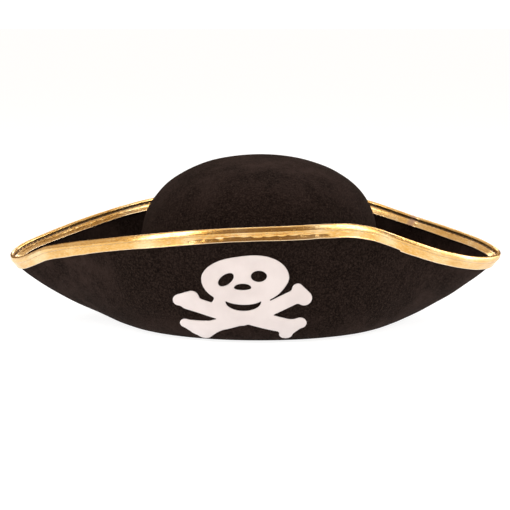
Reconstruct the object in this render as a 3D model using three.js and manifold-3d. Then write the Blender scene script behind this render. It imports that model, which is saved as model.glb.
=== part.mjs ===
// A felt pirate hat: a domed crown and a wired brim that turns up at the front and the back and
// runs out to two pointed tips. Gold binding is folded over the rim, and a skull with crossed
// bones is applied to the front flap.
// Millimetres. The tips point along X, the front flap faces -Y, +Z is up, and the underside of
// the brim lies on z = 0 with the middle of the head opening at the origin.
import * as THREE from 'three';
import { mergeVertices } from 'three/addons/utils/BufferGeometryUtils.js';
import { TessellateModifier } from 'three/addons/modifiers/TessellateModifier.js';
import Module from 'manifold-3d';

// Driving dimensions.
const HEAD_HALF_WIDTH = 83;
const HEAD_HALF_DEPTH = 99;
const CROWN_HEIGHT = 121.7;
const TIP_REACH = 187.7;
const FLAP_REACH = 147;
const TIP_ROUNDING = 0.06;
const RIM_SHIFT = -2.2;
const RIM_STEEPNESS = THREE.MathUtils.degToRad(76);
const FELT = 2;
const GAP = 0.3;

// How far the bend at the fold and the bend at the rim reach, as shares of the flap's length:
// at the tips and in the middle of the front and back.
const FOLD_BEND = [0.16, 0.32];
const RIM_BEND = [0.2, 0.4];
const BEND_FADE = 0.8;

// Layers of the head opening, as distances outside the inner face of the sweatband.
const SWEATBAND_OUTER = 0.8;
const COLLAR_INNER = SWEATBAND_OUTER + GAP;
const COLLAR_THICKNESS = 1.7;
const COLLAR_OUTER = COLLAR_INNER + COLLAR_THICKNESS;
const CROWN_INNER = COLLAR_OUTER + GAP;
const CROWN_OUTER = CROWN_INNER + FELT;
const LEVEL_RING = 6;
const FLAP_START = CROWN_OUTER + LEVEL_RING;

// Heights.
const CROWN_BASE = FELT + GAP;
const CROWN_WALL_TOP = 36;
const CROWN_SQUARENESS = 3.2;
const RIGHT_SHOULDER_FULLNESS = 0.4;
const COLLAR_TOP = 11;
const SEAM_HEIGHT = 6;
const SWEATBAND_BASE = 0.8;
const SWEATBAND_TOP = 31;

// Height of the rim at angles in degrees, from the right tip round by the back, the left tip
// and the front.
const RIM_HEIGHTS = [
  [0, 50.5], [10, 57.8], [35, 69.6], [60, 81.8], [90, 85.6], [120, 81.8], [150, 69.1],
  [173, 55.6], [184, 47.5], [200, 60], [225, 70.5], [255, 79.8], [280, 82.8], [299, 81.8],
  [318, 68], [331, 58.6], [345, 51], [354, 48.5],
];

// Edge binding, in distances down from its top and out from the middle of the felt.
const BEAD_RADIUS = 1.6;
const BEAD_BORE = 1;
const WIRE_RADIUS = 0.5;
const WIRE_DEPTH = 1.75;
const FELT_EDGE_DEPTH = 2.8;
const GROOVE_DEPTH = 3.4;
const GROOVE_HALF = 1;
const PINCHED_FELT_HALF = 0.4;
const FULL_FELT_DEPTH = 5;
const BINDING_CLOTH = 0.5;
const OUTER_LEG_LENGTH = 9.5;
const INNER_LEG_LENGTH = 9;
const THREAD_RADIUS = 0.22;
const THREAD_OFFSET = 1.4;
const THREAD_GAP = 0.1;
const JOINER_LENGTH = 12;
const JOINER_BORE = 0.64;
const JOINER_RADIUS = 0.85;

// Skull and crossed bones, measured across the hat and up the front flap from its fold.
const EMBLEM_MIDDLE = -10.9;
const EMBLEM_THICKNESS = 0.6;

const LABEL_HEIGHT = 14;
const LABEL_BASE = 12;
const LABEL_THICKNESS = 0.4;

// Stations round the hat, closer together at the two tips.
const STATIONS = 64;
const TIP_CROWDING = 0.275;
const ANGLES = Array.from({ length: STATIONS }, (_, index) => {
  const even = (2 * Math.PI * index) / STATIONS;
  return even - TIP_CROWDING * Math.sin(2 * even);
});
const REAR_STATION = STATIONS / 4;

const felt = new THREE.MeshStandardMaterial({ color: 0x262120, roughness: 0.95 });
const gold = new THREE.MeshStandardMaterial({ color: 0xd2a045, roughness: 0.4, metalness: 0.6 });
const goldThread = new THREE.MeshStandardMaterial({ color: 0xb98a3a, roughness: 0.7 });
const blackThread = new THREE.MeshStandardMaterial({ color: 0x1b1a1a, roughness: 0.8 });
const steel = new THREE.MeshStandardMaterial({ color: 0x8d9094, roughness: 0.35, metalness: 1 });
const brass = new THREE.MeshStandardMaterial({ color: 0xb08d4a, roughness: 0.35, metalness: 1 });
const white = new THREE.MeshStandardMaterial({ color: 0xf3e7e4, roughness: 0.6 });
const cotton = new THREE.MeshStandardMaterial({ color: 0x2c2a2b, roughness: 0.9 });
const satin = new THREE.MeshStandardMaterial({ color: 0xe9e6e0, roughness: 0.45 });

function polar(angle, radius, height) {
  return new THREE.Vector3(radius * Math.cos(angle), radius * Math.sin(angle), height);
}

// Radius of the oval head opening, made larger by a distance.
function ovalRadius(angle, outside) {
  const across = Math.cos(angle) / (HEAD_HALF_WIDTH + outside);
  const along = Math.sin(angle) / (HEAD_HALF_DEPTH + outside);
  return 1 / Math.hypot(across, along);
}

// The rim in plan: two parabolas that meet in a rounded point at each tip.
function rimRadius(angle) {
  const rise = Math.hypot(Math.sin(angle), TIP_ROUNDING);
  const bend = (FLAP_REACH * Math.cos(angle) ** 2) / TIP_REACH ** 2;
  const shift = RIM_SHIFT * Math.cos(angle);
  return (2 * FLAP_REACH) / (rise + Math.sqrt(rise ** 2 + 4 * bend * FLAP_REACH)) + shift;
}

// A smooth closed curve through the listed heights.
function rimHeight(angle) {
  const count = RIM_HEIGHTS.length;
  const knot = (index) => {
    const [degrees, height] = RIM_HEIGHTS[((index % count) + count) % count];
    return { degrees: degrees + 360 * Math.floor(index / count), height };
  };
  const slope = (index) => {
    const before = knot(index - 1);
    const after = knot(index + 1);
    return (after.height - before.height) / (after.degrees - before.degrees);
  };
  const degrees = (THREE.MathUtils.radToDeg(angle) + 360) % 360;
  const above = RIM_HEIGHTS.findIndex(([start]) => start > degrees);
  const first = above < 0 ? count - 1 : above - 1;
  const low = knot(first);
  const high = knot(first + 1);
  const span = high.degrees - low.degrees;
  const t = (degrees - low.degrees) / span;
  const blend = t * t * (3 - 2 * t);
  const leave = t * (1 - t) ** 2 * span * slope(first);
  const arrive = t * t * (1 - t) * span * slope(first + 1);
  return low.height + blend * (high.height - low.height) + leave - arrive;
}

// The middle of the felt from its fold at the base out to the rim, as a curve in radius and
// height. It leaves the base level and arrives steeply, with a fuller bend at the front and back.
function makeFlapCurve(angle) {
  const fullness = Math.abs(Math.sin(angle)) ** BEND_FADE;
  const start = new THREE.Vector2(ovalRadius(angle, FLAP_START), FELT / 2);
  const end = new THREE.Vector2(rimRadius(angle), rimHeight(angle));
  const length = start.distanceTo(end);
  const startHandle = length * THREE.MathUtils.lerp(...FOLD_BEND, fullness);
  const endHandle = length * THREE.MathUtils.lerp(...RIM_BEND, fullness);
  const leave = new THREE.Vector2(start.x + startHandle, start.y);
  const arrive = new THREE.Vector2(
    end.x - endHandle * Math.cos(RIM_STEEPNESS),
    end.y - endHandle * Math.sin(RIM_STEEPNESS),
  );
  return new THREE.CubicBezierCurve(start, leave, arrive, end);
}

// Radius and height at a distance up the flap, moved off the middle of the felt: positive
// towards the crown, negative towards the outside.
function offFlap(curve, up, offset) {
  const share = up / curve.getLength();
  const point = curve.getPointAt(share);
  const tangent = curve.getTangentAt(share);
  return [point.x - tangent.y * offset, point.y + tangent.x * offset];
}

// Radius and height at a distance down from the top of the rim.
function nearRim(curve, down, offset) {
  return offFlap(curve, curve.getLength() - down, offset);
}

// Joins closed rows of points, each with the same count, into one closed body. With a first
// and a last point the body ends in them; without, the last row joins the first.
function loft(rows, firstPoint, lastPoint) {
  const width = rows[0].length;
  const points = rows.flat();
  const faces = [];
  const joins = firstPoint ? rows.length - 1 : rows.length;
  for (let row = 0; row < joins; row += 1) {
    const next = (row + 1) % rows.length;
    for (let side = 0; side < width; side += 1) {
      const turn = (side + 1) % width;
      const a = row * width + side;
      const b = row * width + turn;
      const c = next * width + turn;
      const d = next * width + side;
      faces.push([a, b, c], [a, c, d]);
    }
  }
  if (firstPoint) {
    const lastRow = (rows.length - 1) * width;
    const first = points.push(firstPoint) - 1;
    const last = points.push(lastPoint) - 1;
    for (let side = 0; side < width; side += 1) {
      const turn = (side + 1) % width;
      faces.push([first, turn, side], [last, lastRow + side, lastRow + turn]);
    }
  }
  return closedGeometry(points, faces);
}

// A geometry with its faces turned outwards.
function closedGeometry(points, faces) {
  let volume = 0;
  for (const [a, b, c] of faces) {
    volume += points[a].dot(new THREE.Vector3().crossVectors(points[b], points[c]));
  }
  const outward = volume > 0 ? faces : faces.map(([a, b, c]) => [a, c, b]);
  const geometry = new THREE.BufferGeometry().setFromPoints(points);
  geometry.setIndex(outward.flat());
  geometry.computeVertexNormals();
  return geometry;
}

function middleOf(points) {
  const sum = points.reduce((total, point) => total.add(point), new THREE.Vector3());
  return sum.divideScalar(points.length);
}

function named(name, geometry, material) {
  const mesh = new THREE.Mesh(geometry, material);
  mesh.name = name;
  return mesh;
}

// A body that runs all the way round, from a function that gives its section at an angle as
// radius and height pairs.
function ringBody(sectionAt) {
  const sections = ANGLES.map((angle) => {
    return sectionAt(angle).map(([radius, height]) => polar(angle, radius, height));
  });
  return loft(sections);
}

// A round section of a few sides, as radius and height pairs.
function roundSection(radius, height, size, sides = 4) {
  return Array.from({ length: sides }, (_, side) => {
    const turn = (2 * Math.PI * side) / sides;
    return [radius + size * Math.cos(turn), height + size * Math.sin(turn)];
  });
}

const FLAP_CURVES = new Map(ANGLES.map((angle) => [angle, makeFlapCurve(angle)]));

// How square the dome's shoulder is: 2 would be a plain oval.
function shoulderSquareness(angle) {
  return CROWN_SQUARENESS + RIGHT_SHOULDER_FULLNESS * ((1 + Math.cos(angle)) / 2) ** 2;
}

// One surface of the crown, from its lower edge up to the ring nearest the top.
function crownRows(outside, top) {
  const wallHeights = [CROWN_BASE, (CROWN_BASE + CROWN_WALL_TOP) / 2, CROWN_WALL_TOP];
  const wall = wallHeights.map((height) => {
    return ANGLES.map((angle) => polar(angle, ovalRadius(angle, outside), height));
  });
  const domeSteps = 9;
  const dome = Array.from({ length: domeSteps - 1 }, (_, index) => {
    const climb = (Math.PI / 2) * ((index + 1) / domeSteps) ** 1.4;
    return ANGLES.map((angle) => {
      const rise = Math.sin(climb) ** (2 / shoulderSquareness(angle));
      const height = CROWN_WALL_TOP + (top - CROWN_WALL_TOP) * rise;
      return polar(angle, ovalRadius(angle, outside) * Math.cos(climb), height);
    });
  });
  return [...wall, ...dome];
}

function makeCrown() {
  const innerTop = CROWN_HEIGHT - FELT;
  const rows = [
    ...crownRows(CROWN_OUTER, CROWN_HEIGHT).reverse(),
    ...crownRows(CROWN_INNER, innerTop),
  ];
  const outerPeak = new THREE.Vector3(0, 0, CROWN_HEIGHT);
  const innerPeak = new THREE.Vector3(0, 0, innerTop);
  return named('crown', loft(rows, outerPeak, innerPeak), felt);
}

// The brim: a collar inside the crown wall, a level ring and the flap, whose edge is pinched
// thin under the row of stitches.
function makeBrim() {
  const shares = [0, 0.09, 0.18, 0.27, 0.37, 0.5, 0.7, 1];
  const half = FELT / 2;
  const geometry = ringBody((angle) => {
    const curve = FLAP_CURVES.get(angle);
    const length = curve.getLength();
    const open = length - OUTER_LEG_LENGTH;
    const steps = shares.map((share) => [share * open, half]);
    steps.push([length - FULL_FELT_DEPTH, half]);
    steps.push([length - GROOVE_DEPTH, PINCHED_FELT_HALF]);
    steps.push([length - FELT_EDGE_DEPTH, PINCHED_FELT_HALF]);
    const outerFace = steps.map(([up, offset]) => offFlap(curve, up, -offset));
    const innerFace = steps.map(([up, offset]) => offFlap(curve, up, offset)).reverse();
    const collarInside = ovalRadius(angle, COLLAR_INNER);
    const collarOutside = ovalRadius(angle, COLLAR_OUTER);
    return [
      [collarInside, 0],
      ...outerFace,
      ...innerFace,
      [collarOutside, FELT],
      [collarOutside, COLLAR_TOP],
      [collarInside, COLLAR_TOP],
    ];
  });
  return named('brim', geometry, felt);
}

// Half a circle over the top of the rim, as depth and offset pairs from outside to inside.
function overTop(depth, radius, steps) {
  return Array.from({ length: steps + 1 }, (_, step) => {
    const turn = (Math.PI * step) / steps;
    return [depth - radius * Math.sin(turn), -radius * Math.cos(turn)];
  });
}

// Binding folded over the rim: a bead round the wire, a stitched groove on each face, and a
// longer leg outside than inside.
function makeBinding() {
  const legInner = FELT / 2 + GAP;
  const legOuter = legInner + BINDING_CLOTH;
  const grooveInner = PINCHED_FELT_HALF + GAP;
  const outside = [
    [OUTER_LEG_LENGTH, -legOuter],
    [FULL_FELT_DEPTH, -legOuter],
    [GROOVE_DEPTH, -GROOVE_HALF],
    ...overTop(BEAD_RADIUS, BEAD_RADIUS, 4),
    [GROOVE_DEPTH, GROOVE_HALF],
    [FULL_FELT_DEPTH, legOuter],
    [INNER_LEG_LENGTH, legOuter],
  ];
  const inside = [
    [OUTER_LEG_LENGTH, -legInner],
    [FULL_FELT_DEPTH, -legInner],
    [GROOVE_DEPTH, -grooveInner],
    ...overTop(WIRE_DEPTH, BEAD_BORE, 4),
    [GROOVE_DEPTH, grooveInner],
    [FULL_FELT_DEPTH, legInner],
    [INNER_LEG_LENGTH, legInner],
  ].reverse();
  const geometry = ringBody((angle) => {
    const curve = FLAP_CURVES.get(angle);
    return [...outside, ...inside].map(([down, offset]) => nearRim(curve, down, offset));
  });
  return named('edge_binding', geometry, gold);
}

function makeBindingThread(name, offset) {
  const geometry = ringBody((angle) => {
    const [radius, height] = nearRim(FLAP_CURVES.get(angle), GROOVE_DEPTH, offset);
    return roundSection(radius, height, THREAD_RADIUS);
  });
  return named(name, geometry, goldThread);
}

function wireSection(station) {
  const angle = ANGLES[station % STATIONS];
  const [radius, height] = nearRim(FLAP_CURVES.get(angle), WIRE_DEPTH, 0);
  const section = roundSection(radius, height, WIRE_RADIUS, 6);
  return section.map(([out, up]) => polar(angle, out, up));
}

// The rim wire runs once round the hat, and its two ends meet between two stations behind the
// crown.
function makeWire() {
  const before = wireSection(REAR_STATION + 1);
  const after = wireSection(REAR_STATION + 2);
  const between = (share) => before.map((point, side) => point.clone().lerp(after[side], share));
  const halfGap = 0.02;
  const rows = [between(0.5 + halfGap)];
  for (let step = 2; step <= STATIONS + 1; step += 1) {
    rows.push(wireSection(REAR_STATION + step));
  }
  rows.push(between(0.5 - halfGap));
  const geometry = loft(rows, middleOf(rows[0]), middleOf(rows[rows.length - 1]));
  return named('rim_wire', geometry, steel);
}

// A short crimped tube over the two wire ends.
function makeJoiner() {
  const start = middleOf(wireSection(REAR_STATION + 1));
  const end = middleOf(wireSection(REAR_STATION + 2));
  const half = JOINER_LENGTH / 2;
  const profile = [
    new THREE.Vector2(JOINER_BORE, -half),
    new THREE.Vector2(JOINER_RADIUS, -half),
    new THREE.Vector2(JOINER_RADIUS, half),
    new THREE.Vector2(JOINER_BORE, half),
    new THREE.Vector2(JOINER_BORE, -half),
  ];
  const joiner = named('wire_joiner', new THREE.LatheGeometry(profile, 8), brass);
  joiner.position.copy(start).lerp(end, 0.5);
  const direction = end.sub(start).normalize();
  joiner.quaternion.setFromUnitVectors(new THREE.Vector3(0, 1, 0), direction);
  return joiner;
}

function makeSweatband() {
  const geometry = ringBody((angle) => {
    const inside = ovalRadius(angle, 0);
    const outside = ovalRadius(angle, SWEATBAND_OUTER);
    return [
      [inside, SWEATBAND_BASE],
      [outside, SWEATBAND_BASE],
      [outside, SWEATBAND_TOP],
      [inside, SWEATBAND_TOP],
    ];
  });
  return named('sweatband', geometry, cotton);
}

// A row of stitches round the seam between crown and brim.
function makeSeamThread(name, outside) {
  const geometry = ringBody((angle) => {
    return roundSection(ovalRadius(angle, outside), SEAM_HEIGHT, THREAD_RADIUS);
  });
  return named(name, geometry, blackThread);
}

// A blank folded label on the inner face of the sweatband, at the back.
function makeLabel() {
  const face = -GAP / 2;
  const rows = [REAR_STATION - 1, REAR_STATION, REAR_STATION + 1].map((station) => {
    const angle = ANGLES[station];
    const back = ovalRadius(angle, face);
    const front = ovalRadius(angle, face - LABEL_THICKNESS);
    return [
      polar(angle, back, LABEL_BASE),
      polar(angle, back, LABEL_BASE + LABEL_HEIGHT),
      polar(angle, front, LABEL_BASE + LABEL_HEIGHT),
      polar(angle, front, LABEL_BASE),
    ];
  });
  return named('care_label', loft(rows, middleOf(rows[0]), middleOf(rows[2])), satin);
}

// An oval whose upper and lower halves may differ in height.
function ovalShape(x, y, halfWidth, upper, lower, tilt = 0) {
  const steps = 2 * Math.round(4 + halfWidth / 5);
  const points = Array.from({ length: steps }, (_, step) => {
    const turn = (2 * Math.PI * step) / steps;
    const rise = Math.sin(turn) * (Math.sin(turn) > 0 ? upper : lower);
    const corner = new THREE.Vector2(halfWidth * Math.cos(turn), rise);
    corner.rotateAround(new THREE.Vector2(), tilt);
    return corner.add(new THREE.Vector2(x, y));
  });
  return new THREE.Shape(points);
}

// A straight band with round ends, each given as its middle and its size.
function bandShape([fromX, fromY, fromSize], [toX, toY, toSize]) {
  const direction = Math.atan2(toY - fromY, toX - fromX);
  const distance = Math.hypot(toX - fromX, toY - fromY);
  const touch = Math.acos((fromSize - toSize) / distance);
  const shape = new THREE.Shape();
  shape.absarc(toX, toY, toSize, direction - touch, direction + touch);
  shape.absarc(fromX, fromY, fromSize, direction + touch, direction - touch + 2 * Math.PI);
  return shape;
}

// A crescent with its points up.
function crescentShape(x, y, halfWidth, depth, thickness) {
  const shape = new THREE.Shape();
  shape.moveTo(x - halfWidth, y);
  shape.quadraticCurveTo(x, y - 2 * depth, x + halfWidth, y);
  shape.quadraticCurveTo(x, y - 2 * (depth - thickness), x - halfWidth, y);
  return shape;
}

// The four arms of the crossed bones. The first band of each is its shaft, and the others are
// the knuckles at its end.
function bonesShapes() {
  const arms = [
    [[[0, 30, 5.2], [-37, 42, 5.4]], [[-43.2, 43.6, 4.2], [-34.5, 45.6, 5]]],
    [[[8, 32.8, 5.1], [34, 45.6, 5.1]], [[41.5, 45, 5.2], [37, 51.8, 3.8]]],
    [
      [[0, 30.4, 4.9], [-30, 20.4, 5]],
      [[-39.3, 25.4, 3], [-26, 23.2, 4.6]],
      [[-39.3, 25.4, 3], [-25.6, 14.9, 3.8]],
      [[-25.6, 14.9, 3.8], [-19, 23, 4.5]],
    ],
    [
      [[0, 33, 5.8], [32, 23.5, 5.8]],
      [[38.8, 26.5, 4.4], [32, 24, 4.4]],
      [[29.2, 17, 4.5], [30, 22, 4.5]],
    ],
  ];
  const shift = ([x, y, size]) => [x + EMBLEM_MIDDLE, y, size];
  return arms.flat().map(([start, end]) => bandShape(shift(start), shift(end)));
}

const wasm = await Module();
wasm.setup();

function toManifold(geometry) {
  const bare = geometry.clone();
  bare.deleteAttribute('normal');
  bare.deleteAttribute('uv');
  const merged = mergeVertices(bare);
  const vertProperties = new Float32Array(merged.attributes.position.array);
  const triVerts = new Uint32Array(merged.index.array);
  return new wasm.Manifold(new wasm.Mesh({ numProp: 3, vertProperties, triVerts }));
}

function fromManifold(solid) {
  const mesh = solid.getMesh();
  const geometry = new THREE.BufferGeometry();
  geometry.setAttribute('position', new THREE.BufferAttribute(mesh.vertProperties, 3));
  geometry.setIndex(new THREE.BufferAttribute(mesh.triVerts, 1));
  return geometry;
}

function flatSolid(shape, bottom, depth) {
  const geometry = new THREE.ExtrudeGeometry(shape, {
    depth,
    bevelEnabled: false,
    curveSegments: 3,
  });
  return toManifold(geometry.translate(0, 0, bottom));
}

// Skull, jaw and bones joined into one flat sheet, with the eyes, nose and mouth cut out.
function flatEmblem() {
  const x = EMBLEM_MIDDLE;
  const skull = ovalShape(x + 1, 59.2, 28.8, 16, 18.2);
  const brow = ovalShape(x + 8.5, 60, 22.6, 16, 11.5);
  const jaw = ovalShape(x - 1.2, 39, 20, 14, 11);
  const holes = [
    ovalShape(x - 11.2, 59, 6.2, 3.5, 3.5, 0.68),
    ovalShape(x + 10.9, 61.3, 5.4, 4, 4),
    ovalShape(x, 53.2, 5.8, 3, 1.6),
    crescentShape(x + 0.4, 43.2, 11.8, 6.7, 4),
  ];
  const solids = [skull, brow, jaw, ...bonesShapes()].map((shape) => {
    return flatSolid(shape, 0, EMBLEM_THICKNESS);
  });
  const whole = solids.reduce((sum, solid) => sum.add(solid));
  const cut = holes.reduce((sum, hole) => sum.subtract(flatSolid(hole, -1, 3)), whole);
  return fromManifold(cut);
}

// Wraps the flat emblem on the outer face of the front flap, keeping its distance across the
// hat and turning its height into a distance up the flap.
function wrapOnFlap(geometry) {
  const position = geometry.attributes.position;
  const face = FELT / 2 + GAP;
  for (let index = 0; index < position.count; index += 1) {
    const across = position.getX(index);
    const offset = -face - position.getZ(index);
    let angle = 1.5 * Math.PI;
    let place = [FLAP_REACH, 0];
    for (let round = 0; round < 6; round += 1) {
      angle = 1.5 * Math.PI + Math.asin(across / place[0]);
      place = offFlap(makeFlapCurve(angle), position.getY(index), offset);
    }
    position.setXYZ(index, ...polar(angle, place[0], place[1]).toArray());
  }
}

function makeEmblem() {
  const longestEdge = 8;
  const fine = new TessellateModifier(longestEdge, 8).modify(flatEmblem());
  fine.deleteAttribute('normal');
  const geometry = mergeVertices(fine);
  wrapOnFlap(geometry);
  const position = geometry.attributes.position;
  const points = Array.from({ length: position.count }, (_, index) => {
    return new THREE.Vector3().fromBufferAttribute(position, index);
  });
  const corners = Array.from(geometry.index.array);
  const faces = Array.from({ length: corners.length / 3 }, (_, index) => {
    return corners.slice(3 * index, 3 * index + 3);
  });
  return named('skull_applique', closedGeometry(points, faces), white);
}

const hat = new THREE.Group();
hat.name = 'pirate_hat';
const threadClearance = THREAD_GAP + THREAD_RADIUS;
hat.add(
  makeCrown(),
  makeBrim(),
  makeBinding(),
  makeBindingThread('binding_needle_thread', -THREAD_OFFSET),
  makeBindingThread('binding_bobbin_thread', THREAD_OFFSET),
  makeWire(),
  makeJoiner(),
  makeEmblem(),
  makeSweatband(),
  makeSeamThread('seam_needle_thread', CROWN_OUTER + threadClearance),
  makeSeamThread('seam_bobbin_thread', -threadClearance),
  makeLabel(),
);

export default hat;
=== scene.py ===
"""A felt pirate hat: fine surfaces, cloth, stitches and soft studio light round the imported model.

Metres, in the model's own frame: the tips point along X, the front flap faces -Y and +Z is up.
"""
import math

import bmesh
import bpy
import numpy as np
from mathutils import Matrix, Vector


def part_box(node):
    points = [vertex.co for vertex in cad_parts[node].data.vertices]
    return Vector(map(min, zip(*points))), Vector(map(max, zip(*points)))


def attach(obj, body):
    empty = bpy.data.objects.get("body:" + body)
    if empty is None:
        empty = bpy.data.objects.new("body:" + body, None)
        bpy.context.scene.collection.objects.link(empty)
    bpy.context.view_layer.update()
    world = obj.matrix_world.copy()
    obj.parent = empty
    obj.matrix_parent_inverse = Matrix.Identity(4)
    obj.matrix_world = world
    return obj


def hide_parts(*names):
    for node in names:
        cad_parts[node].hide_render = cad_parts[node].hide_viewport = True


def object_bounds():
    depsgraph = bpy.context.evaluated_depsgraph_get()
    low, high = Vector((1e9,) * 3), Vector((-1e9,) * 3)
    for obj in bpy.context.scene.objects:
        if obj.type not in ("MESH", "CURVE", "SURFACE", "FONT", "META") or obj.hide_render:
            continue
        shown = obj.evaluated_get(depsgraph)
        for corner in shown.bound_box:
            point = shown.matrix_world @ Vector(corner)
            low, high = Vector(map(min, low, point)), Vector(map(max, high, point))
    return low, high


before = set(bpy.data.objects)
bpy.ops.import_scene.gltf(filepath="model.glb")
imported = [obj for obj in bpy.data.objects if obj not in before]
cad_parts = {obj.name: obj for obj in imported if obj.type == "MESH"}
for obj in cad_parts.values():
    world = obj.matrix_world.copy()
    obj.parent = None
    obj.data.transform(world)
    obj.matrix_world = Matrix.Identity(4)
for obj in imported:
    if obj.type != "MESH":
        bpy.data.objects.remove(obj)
cad_box = [list(map(float, corner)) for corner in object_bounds()]
MM = 0.001

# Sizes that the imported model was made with, in metres.
FELT = 2 * MM
FOLD_WIDTH = 6 * MM
THREAD_DEPTH = 3.4 * MM
WIRE_DEPTH = 1.75 * MM
BEAD_RADIUS = 1.6 * MM
OUTER_LEG = 9.5 * MM
INNER_LEG = 9 * MM
COLLAR_INNER = 1.1 * MM
COLLAR_OUTER = 2.8 * MM
COLLAR_TOP = 11 * MM
CROWN_SQUARENESS = 3.2
RIGHT_SHOULDER_FULLNESS = 0.4
CROWN_WALL_TOP = 36 * MM
EMBLEM_GAP = 0.3 * MM
EMBLEM_THICKNESS = 0.6 * MM

# How finely the surfaces are drawn.
COARSE_COLUMNS = 512
FINE_COLUMNS = 1280
CROWN_OUTER_ROWS = 84
CROWN_INNER_ROWS = 40
STITCH_RINGS = 7
STITCH_SIDES = 6

crown_low, crown_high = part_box("crown")
band_low, band_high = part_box("sweatband")
seam_low, seam_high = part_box("seam_needle_thread")
label_low, label_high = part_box("care_label")
HALF_WIDTH = (crown_high[0] - crown_low[0]) / 2
HALF_DEPTH = (crown_high[1] - crown_low[1]) / 2
CROWN_BASE = crown_low[2]
CROWN_TOP = crown_high[2]
SEAM_HEIGHT = (seam_low[2] + seam_high[2]) / 2
HEAD_INSET = HALF_WIDTH - (band_high[0] - band_low[0]) / 2 + 0.8 * MM


# ---- numbers and noise

def smoothstep(low, high, value):
    share = np.clip((value - low) / (high - low), 0, 1)
    return share * share * (3 - 2 * share)


def bump(value, middle, width):
    """1 at the middle, falling smoothly to 0 a width away."""
    return smoothstep(1, 0, np.abs(value - middle) / width)


def waves(points, wavelength, seed, count=14):
    """Smooth unevenness from -1 to 1 about each point, the same on every run."""
    rng = np.random.default_rng(seed)
    total = np.zeros(points.shape[:-1])
    for _ in range(count):
        direction = rng.normal(size=points.shape[-1])
        direction /= np.linalg.norm(direction)
        scale = 2 * math.pi / (wavelength * rng.uniform(0.7, 1.5))
        total += np.sin(points @ direction * scale + rng.uniform(0, 2 * math.pi))
    return total / math.sqrt(count)


def ripples(along, wavelength, length, seed, count=5):
    """Unevenness along a closed line of the given length."""
    rng = np.random.default_rng(seed)
    total = np.zeros(np.shape(along))
    for _ in range(count):
        turns = max(1, round(length / wavelength * rng.uniform(0.6, 1.5)))
        total += np.sin(2 * math.pi * turns * along / length + rng.uniform(0, 2 * math.pi))
    return total / math.sqrt(count)


def unit(vectors):
    return vectors / np.linalg.norm(vectors, axis=-1, keepdims=True)


def running_length(path):
    """Distance along a path to each of its points, which follow each other on the last axis
    but one."""
    steps = np.linalg.norm(np.diff(path, axis=-2), axis=-1)
    start = np.zeros((*steps.shape[:-1], 1))
    return np.concatenate([start, np.cumsum(steps, axis=-1)], axis=-1)


def closed(path):
    """A path with its first point again at its end."""
    return np.concatenate([path, path[:1]])


# ---- the hat's shape

def stations_of(node):
    """The middle of a packed thread ring at each of its stations, in order round the hat."""
    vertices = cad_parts[node].data.vertices
    points = np.array([vertex.co for vertex in vertices])
    points = np.unique(np.round(points, 6), axis=0)
    angles = np.mod(np.arctan2(points[:, 1], points[:, 0]) + 0.01, 2 * math.pi) - 0.01
    order = np.argsort(angles)
    points = points[order]
    angles = angles[order]
    breaks = np.nonzero(np.diff(angles) > math.radians(0.5))[0] + 1
    rows = []
    for group in np.split(np.arange(len(angles)), breaks):
        radius = np.hypot(points[group, 0], points[group, 1]).mean()
        rows.append((angles[group].mean(), radius, points[group, 2].mean()))
    return polar(*np.array(rows).T)


def resample_closed(values, count):
    """A smooth closed curve through evenly numbered values, sampled more finely."""
    total = len(values)
    place = np.arange(count) * total / count
    index = np.floor(place).astype(int)
    t = (place - index)[:, None]
    before, start, end, after = (values[(index + step) % total] for step in (-1, 0, 1, 2))
    leave = (end - before) / 2
    arrive = (after - start) / 2
    curve = (2 * t ** 3 - 3 * t ** 2 + 1) * start + (t ** 3 - 2 * t ** 2 + t) * leave
    return curve + (3 * t ** 2 - 2 * t ** 3) * end + (t ** 3 - t ** 2) * arrive


def in_plane(points):
    """Angle, radius and height of points."""
    angle = np.arctan2(points[..., 1], points[..., 0])
    return angle, np.hypot(points[..., 0], points[..., 1]), points[..., 2]


def polar(angle, radius, height):
    shape = np.broadcast(angle, radius, height).shape
    parts = (radius * np.cos(angle), radius * np.sin(angle), height)
    return np.stack([np.broadcast_to(part, shape) for part in parts], axis=-1)


def oval_radius(angle, inset):
    """Radius of the crown's outer oval, made smaller by a distance."""
    across = np.cos(angle) / (HALF_WIDTH - inset)
    along = np.sin(angle) / (HALF_DEPTH - inset)
    return 1 / np.hypot(across, along)


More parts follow.
